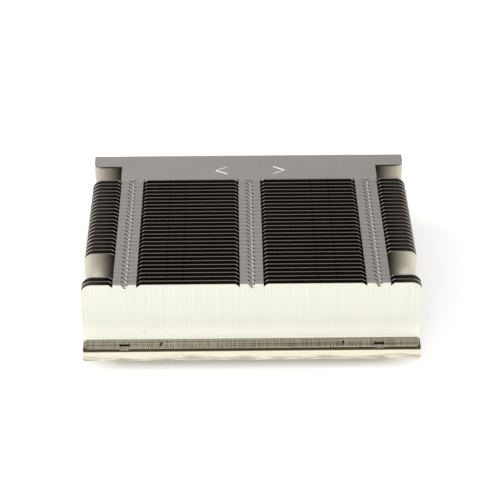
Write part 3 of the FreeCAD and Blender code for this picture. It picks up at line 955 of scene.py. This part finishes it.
@dataclass
class CaptiveSet:
    """A captive screw with its spring, built over their CAD nodes. Sizes are metres."""

    corner: Corner
    screw_finish: Material
    spring_finish: Material
    wire: float = 0.4 * MM
    closed_pitch: float = 0.85 * MM
    turns: float = 4.5
    coil_steps: int = 32
    lathe_steps: int = 48
    wire_sides: int = 12
    thread_pitch: float = 0.7 * MM
    thread_depth: float = 0.38 * MM
    thread_root: float = 0.1 * MM
    edge: float = 0.25 * MM
    socket_radius: float = 1.7 * MM
    socket_depth: float = 1.5 * MM
    shank_radius: float = 2.5 * MM
    groove_radius: float = 1.6 * MM
    thread_radius: float = 2.0 * MM
    play: float = 0.05 * MM
    travel: float = 3.5 * MM

    def node(self, kind: str) -> str:
        """Return the CAD node's name of one of this corner's pieces."""
        return f"{kind}_{self.corner.value}"

    def axis(self) -> Vector:
        """Return the point where the screw's axis meets the ground."""
        low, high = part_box(self.node("screw"))
        return Vector(((low.x + high.x) / 2, (low.y + high.y) / 2, 0.0))

    def build(self) -> list[Object]:
        """Build the detailed screw and spring, in place of the plain ones."""
        return [self.screw(), self.spring()]

    def screw(self) -> Object:
        """Build the screw: thread, groove, shank, and a bevelled head with a hexagon socket."""
        low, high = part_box(self.node("screw"))
        head_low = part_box(self.node("spring"))[1].z
        ring_low, ring_high = (corner.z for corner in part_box(self.node("retaining_ring")))
        head_radius, edge, play = (high.x - low.x) / 2, self.edge, self.play
        root = self.thread_radius - self.thread_depth
        profile = [
            (0.0, low.z), (root - edge, low.z), (root, low.z + edge), (root, ring_low - play),
            (self.groove_radius, ring_low - play), (self.groove_radius, ring_high + play),
            (self.shank_radius, ring_high + play), (self.shank_radius, head_low),
            (head_radius - edge, head_low), (head_radius, head_low + edge),
            (head_radius, high.z - 2 * edge), (head_radius - 0.6 * edge, high.z - 0.6 * edge),
            (head_radius - 2 * edge, high.z),
        ]
        mesh = bmesh.new()
        lathe(mesh, profile, self.lathe_steps)
        rim = [side for side in mesh.edges if side.is_boundary]
        hexagon = bmesh.ops.create_circle(mesh, segments=6, radius=self.socket_radius,
                                          matrix=Matrix.Translation((0, 0, high.z)))["verts"]
        mouth = list(dict.fromkeys(side for vert in hexagon for side in vert.link_edges))
        bmesh.ops.bridge_loops(mesh, edges=rim + mouth)
        deep = bmesh.ops.extrude_edge_only(mesh, edges=mouth)["geom"]
        bottom = [item for item in deep if isinstance(item, BMVert)]
        bmesh.ops.translate(mesh, verts=bottom, vec=(0, 0, -self.socket_depth))
        floor = [item for item in deep if isinstance(item, BMEdge) and item.is_boundary]
        bmesh.ops.contextual_create(mesh, geom=floor)
        self._thread(mesh, low.z + edge, ring_low - 2 * play, root)
        bmesh.ops.translate(mesh, verts=mesh.verts, vec=self.axis())
        made = finish_mesh(mesh, self.node("fine_screw"), self.screw_finish, smooth=40.0)
        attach(made, f"fastener_{self.corner.value}")
        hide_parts(self.node("screw"))
        return made

    def _thread(self, mesh: BMesh, low: float, high: float, root: float) -> None:
        """Add the thread's ridge between two heights."""
        crest, inner = self.thread_radius, root - self.thread_root
        section = ((inner, 0.0), (crest, 0.45), (crest, 0.55), (inner, 1.0))
        ridge = [(radius, low + self.thread_pitch * part) for radius, part in section]
        rise = high - low - self.thread_pitch
        sweep_helix(mesh, ridge, [(rise / self.thread_pitch, rise)], self.coil_steps)

    def spring(self) -> Object:
        """Build the compression spring of round wire, with a closed turn at each end."""
        low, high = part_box(self.node("spring"))
        coil = (high.x - low.x) / 2 - self.wire
        bottom = low.z + self.wire
        open_rise = high.z - low.z - 2 * self.wire - 2 * self.closed_pitch
        section = [(coil + self.wire * math.cos(math.tau * side / self.wire_sides),
                    bottom + self.wire * math.sin(math.tau * side / self.wire_sides))
                   for side in range(self.wire_sides)]
        closed = (1.0, self.closed_pitch)
        stretches = [closed, (self.turns - 2.0, open_rise), closed]
        mesh = bmesh.new()
        sweep_helix(mesh, section, stretches, self.coil_steps)
        bmesh.ops.contextual_create(mesh, geom=[edge for edge in mesh.edges if edge.is_boundary])
        bmesh.ops.translate(mesh, verts=mesh.verts, vec=self.axis())
        made = finish_mesh(mesh, self.node("fine_spring"), self.spring_finish, smooth=60.0)
        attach(made, "heatsink")
        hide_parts(self.node("spring"))
        keep = 1.0 - self.travel / (high.z - low.z)
        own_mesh(made)
        return made


@dataclass
class Heatsink:
    """The whole part: the dressed CAD nodes, the folded fins and the four detailed screw sets."""

    nodes: dict[str, Object]
    front: FrontSheet = field(default_factory=FrontSheet)
    sheet: BareSheet = field(default_factory=BareSheet)
    cover: CoverSheet = field(default_factory=CoverSheet)
    plate: SawnPlate = field(default_factory=SawnPlate)
    screw: PlainSteel = PlainSteel("nickel_plate", (0.74, 0.73, 0.70), 0.22)
    spring: PlainSteel = PlainSteel("drawn_wire", (0.62, 0.62, 0.61), 0.3)
    clip: PlainSteel = PlainSteel("clip_steel", (0.42, 0.41, 0.40), 0.35)

    def dress(self) -> None:
        """Give each CAD node its finish, then remake the fins, screws and springs."""
        finishes = {
            "base_plate": self.plate.material(),
            "front_fin": self.front.material(),
            "rear_fin": self.cover.material(),
            "fin": self.sheet.material(),
            "screw": self.screw.material(),
            "spring": self.spring.material(),
            "retaining_ring": self.clip.material(),
        }
        for name, piece in self.nodes.items():
            key = name if name in finishes else self._kind(name)
            piece.data.materials.clear()
            piece.data.materials.append(finishes[key])
        LOG.info("dressed %d pieces", len(self.nodes))
        fins = FinStack(self.nodes, finishes["fin"], finishes["front_fin"]).build()
        LOG.info("folded %d fins", len(fins))
        for corner in Corner:
            made = CaptiveSet(corner, finishes["screw"], finishes["spring"]).build()
            LOG.info("%s: %s", corner.value, ", ".join(piece.name for piece in made))

    @staticmethod
    def _kind(name: str) -> str:
        """Return the kind of piece that a node's name tells."""
        for kind in ("screw", "spring", "retaining_ring"):
            if name.startswith(kind):
                return kind
        return "fin"


# ---------------------------------------------------------------- studio

@dataclass
class Studio:
    """A plain pale floor, soft light and the camera. The glow's reaches are millimetres."""

    floor_reach: float = 3.0
    floor_tone: float = 0.88
    near_glow: float = 0.19
    near_reach: float = 55.0
    far_glow: float = 0.32
    far_reach: float = 100.0
    side_share: float = 0.6
    under_shade: float = 0.7
    under_side: tuple[float, float] = (40.0, 46.5)
    under_front: tuple[float, float] = (-42.0, -38.0)
    ceiling: float = 0.365
    horizon: float = 0.9
    horizon_band: tuple[float, float] = (0.10, 0.38)
    overhead: float = 0.8
    overhead_band: tuple[float, float] = (0.80, 0.92)
    right_shade: float = 0.45
    shade_right: tuple[float, float] = (-0.1, 0.5)
    shade_back: tuple[float, float] = (0.0, 0.5)
    lens: float = 121.88
    sensor: float = 36.0
    distance: float = 0.56276
    yaw: float = 0.7533
    pitch: float = 34.0513
    roll: float = 0.0781
    aim: Vector = field(default_factory=lambda: Vector((-0.031, 2.747, 15.1)) * MM)

    def build(self) -> None:
        """Build the floor, the world, the lamps and the camera."""
        self.floor()
        self.world()
        self.lamps()
        self.camera()

    def floor(self) -> None:
        """Lay the pale floor: it glows white round the part, and less right under its base, as a painted
        shadow.
        """
        recipe = Recipe("pale_floor")
        x, y = recipe.x, recipe.y
        rays = ("Is Camera Ray", "Is Glossy Ray", "Is Transmission Ray")
        camera, glossy, through = (recipe.node("ShaderNodeLightPath", output=ray) for ray in rays)
        far = (x * x * self.side_share + y * y).ramp(self.near_reach ** 2, self.far_reach ** 2)
        inner, outer = self.under_side
        # Painted shadow: the glow is cut back under the base.
        under = (1.0 - (x * x).ramp(inner ** 2, outer ** 2)) * y.ramp(*self.under_front)
        glow = far * (self.far_glow - self.near_glow) + self.near_glow * (1.0 - under * self.under_shade)
        glow = glow * (camera + glossy + through)
        shine = recipe.node("ShaderNodeCombineXYZ", None, {0: glow, 1: glow, 2: glow})
        recipe.dress(Base_Color=(self.floor_tone,) * 3 + (1.0,), Roughness=0.9, Specular_IOR_Level=0.0,
                     Emission_Color=shine, Emission_Strength=1.0)
        mesh = bmesh.new()
        bmesh.ops.create_grid(mesh, x_segments=1, y_segments=1, size=self.floor_reach)
        floor = finish_mesh(mesh, "floor", recipe.material, smooth=30.0)

    def world(self) -> None:
        """Light the scene: bright low down but dimmer at the back right, and grey with a soft box above."""
        world = bpy.data.worlds.new("studio")
        bpy.context.scene.world = world
        world.use_nodes = True
        sky = Wiring(world.node_tree, "Generated")
        x, y, z = sky.split(sky.place)
        low = 1.0 - z.ramp(*self.horizon_band)
        light = low * (self.horizon - self.ceiling) + self.ceiling
        light = light * (1.0 - x.ramp(*self.shade_right) * y.ramp(*self.shade_back) * self.right_shade)
        light = light + z.ramp(*self.overhead_band) * self.overhead
        background = sky.node("ShaderNodeBackground", None, {"Strength": light})
        sky.node("ShaderNodeOutputWorld", None, {"Surface": background})

    def lamps(self) -> None:
        """Hang a soft box on each side and a weaker one in front."""
        self._soft_box("left", Vector((-0.70, -0.10, 0.42)), size=0.75, power=4.1)
        self._soft_box("right", Vector((0.72, -0.12, 0.42)), size=0.75, power=3.7)
        self._soft_box("front", Vector((-0.1, -0.76, 0.54)), size=0.55, power=3.5)

    def _soft_box(self, name: str, place: Vector, size: float, power: float) -> None:
        """Hang one square soft box that faces the part."""
        lamp = bpy.data.lights.new(name, "AREA")
        lamp.shape = "SQUARE"
        lamp.size = size
        lamp.energy = power
        box = bpy.data.objects.new(name, lamp)
        box.location = place
        box.rotation_mode = "QUATERNION"
        box.rotation_quaternion = (-place).to_track_quat("-Z", "Y")
        bpy.context.scene.collection.objects.link(box)

    def camera(self) -> None:
        """Set the camera in front of the part, looking down on it."""
        yaw, pitch = math.radians(self.yaw), math.radians(self.pitch)
        level = math.cos(pitch)
        forward = Vector((math.sin(yaw) * level, math.cos(yaw) * level, -math.sin(pitch)))
        lens = bpy.data.cameras.new("camera")
        lens.lens = self.lens
        lens.sensor_width = self.sensor
        lens.clip_start, lens.clip_end = 0.01, 20.0
        camera = bpy.data.objects.new("camera", lens)
        camera.rotation_mode = "QUATERNION"
        turn = Matrix.Rotation(math.radians(self.roll), 4, forward)
        camera.rotation_quaternion = turn.to_quaternion() @ forward.to_track_quat("-Z", "Y")
        camera.location = self.aim - forward * self.distance
        bpy.context.scene.collection.objects.link(camera)
        bpy.context.scene.camera = camera


def main() -> None:
    """Dress the heatsink and set up the studio."""
    logging.basicConfig(level=logging.INFO, format="%(name)s: %(message)s")
    for item in list(bpy.data.objects):
        bpy.data.objects.remove(item)
    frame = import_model()
    Heatsink(frame["nodes"]).dress()
    Studio().build()
    bpy.context.scene.view_settings.view_transform = "Standard"


if __name__ == "__main__":
    main()
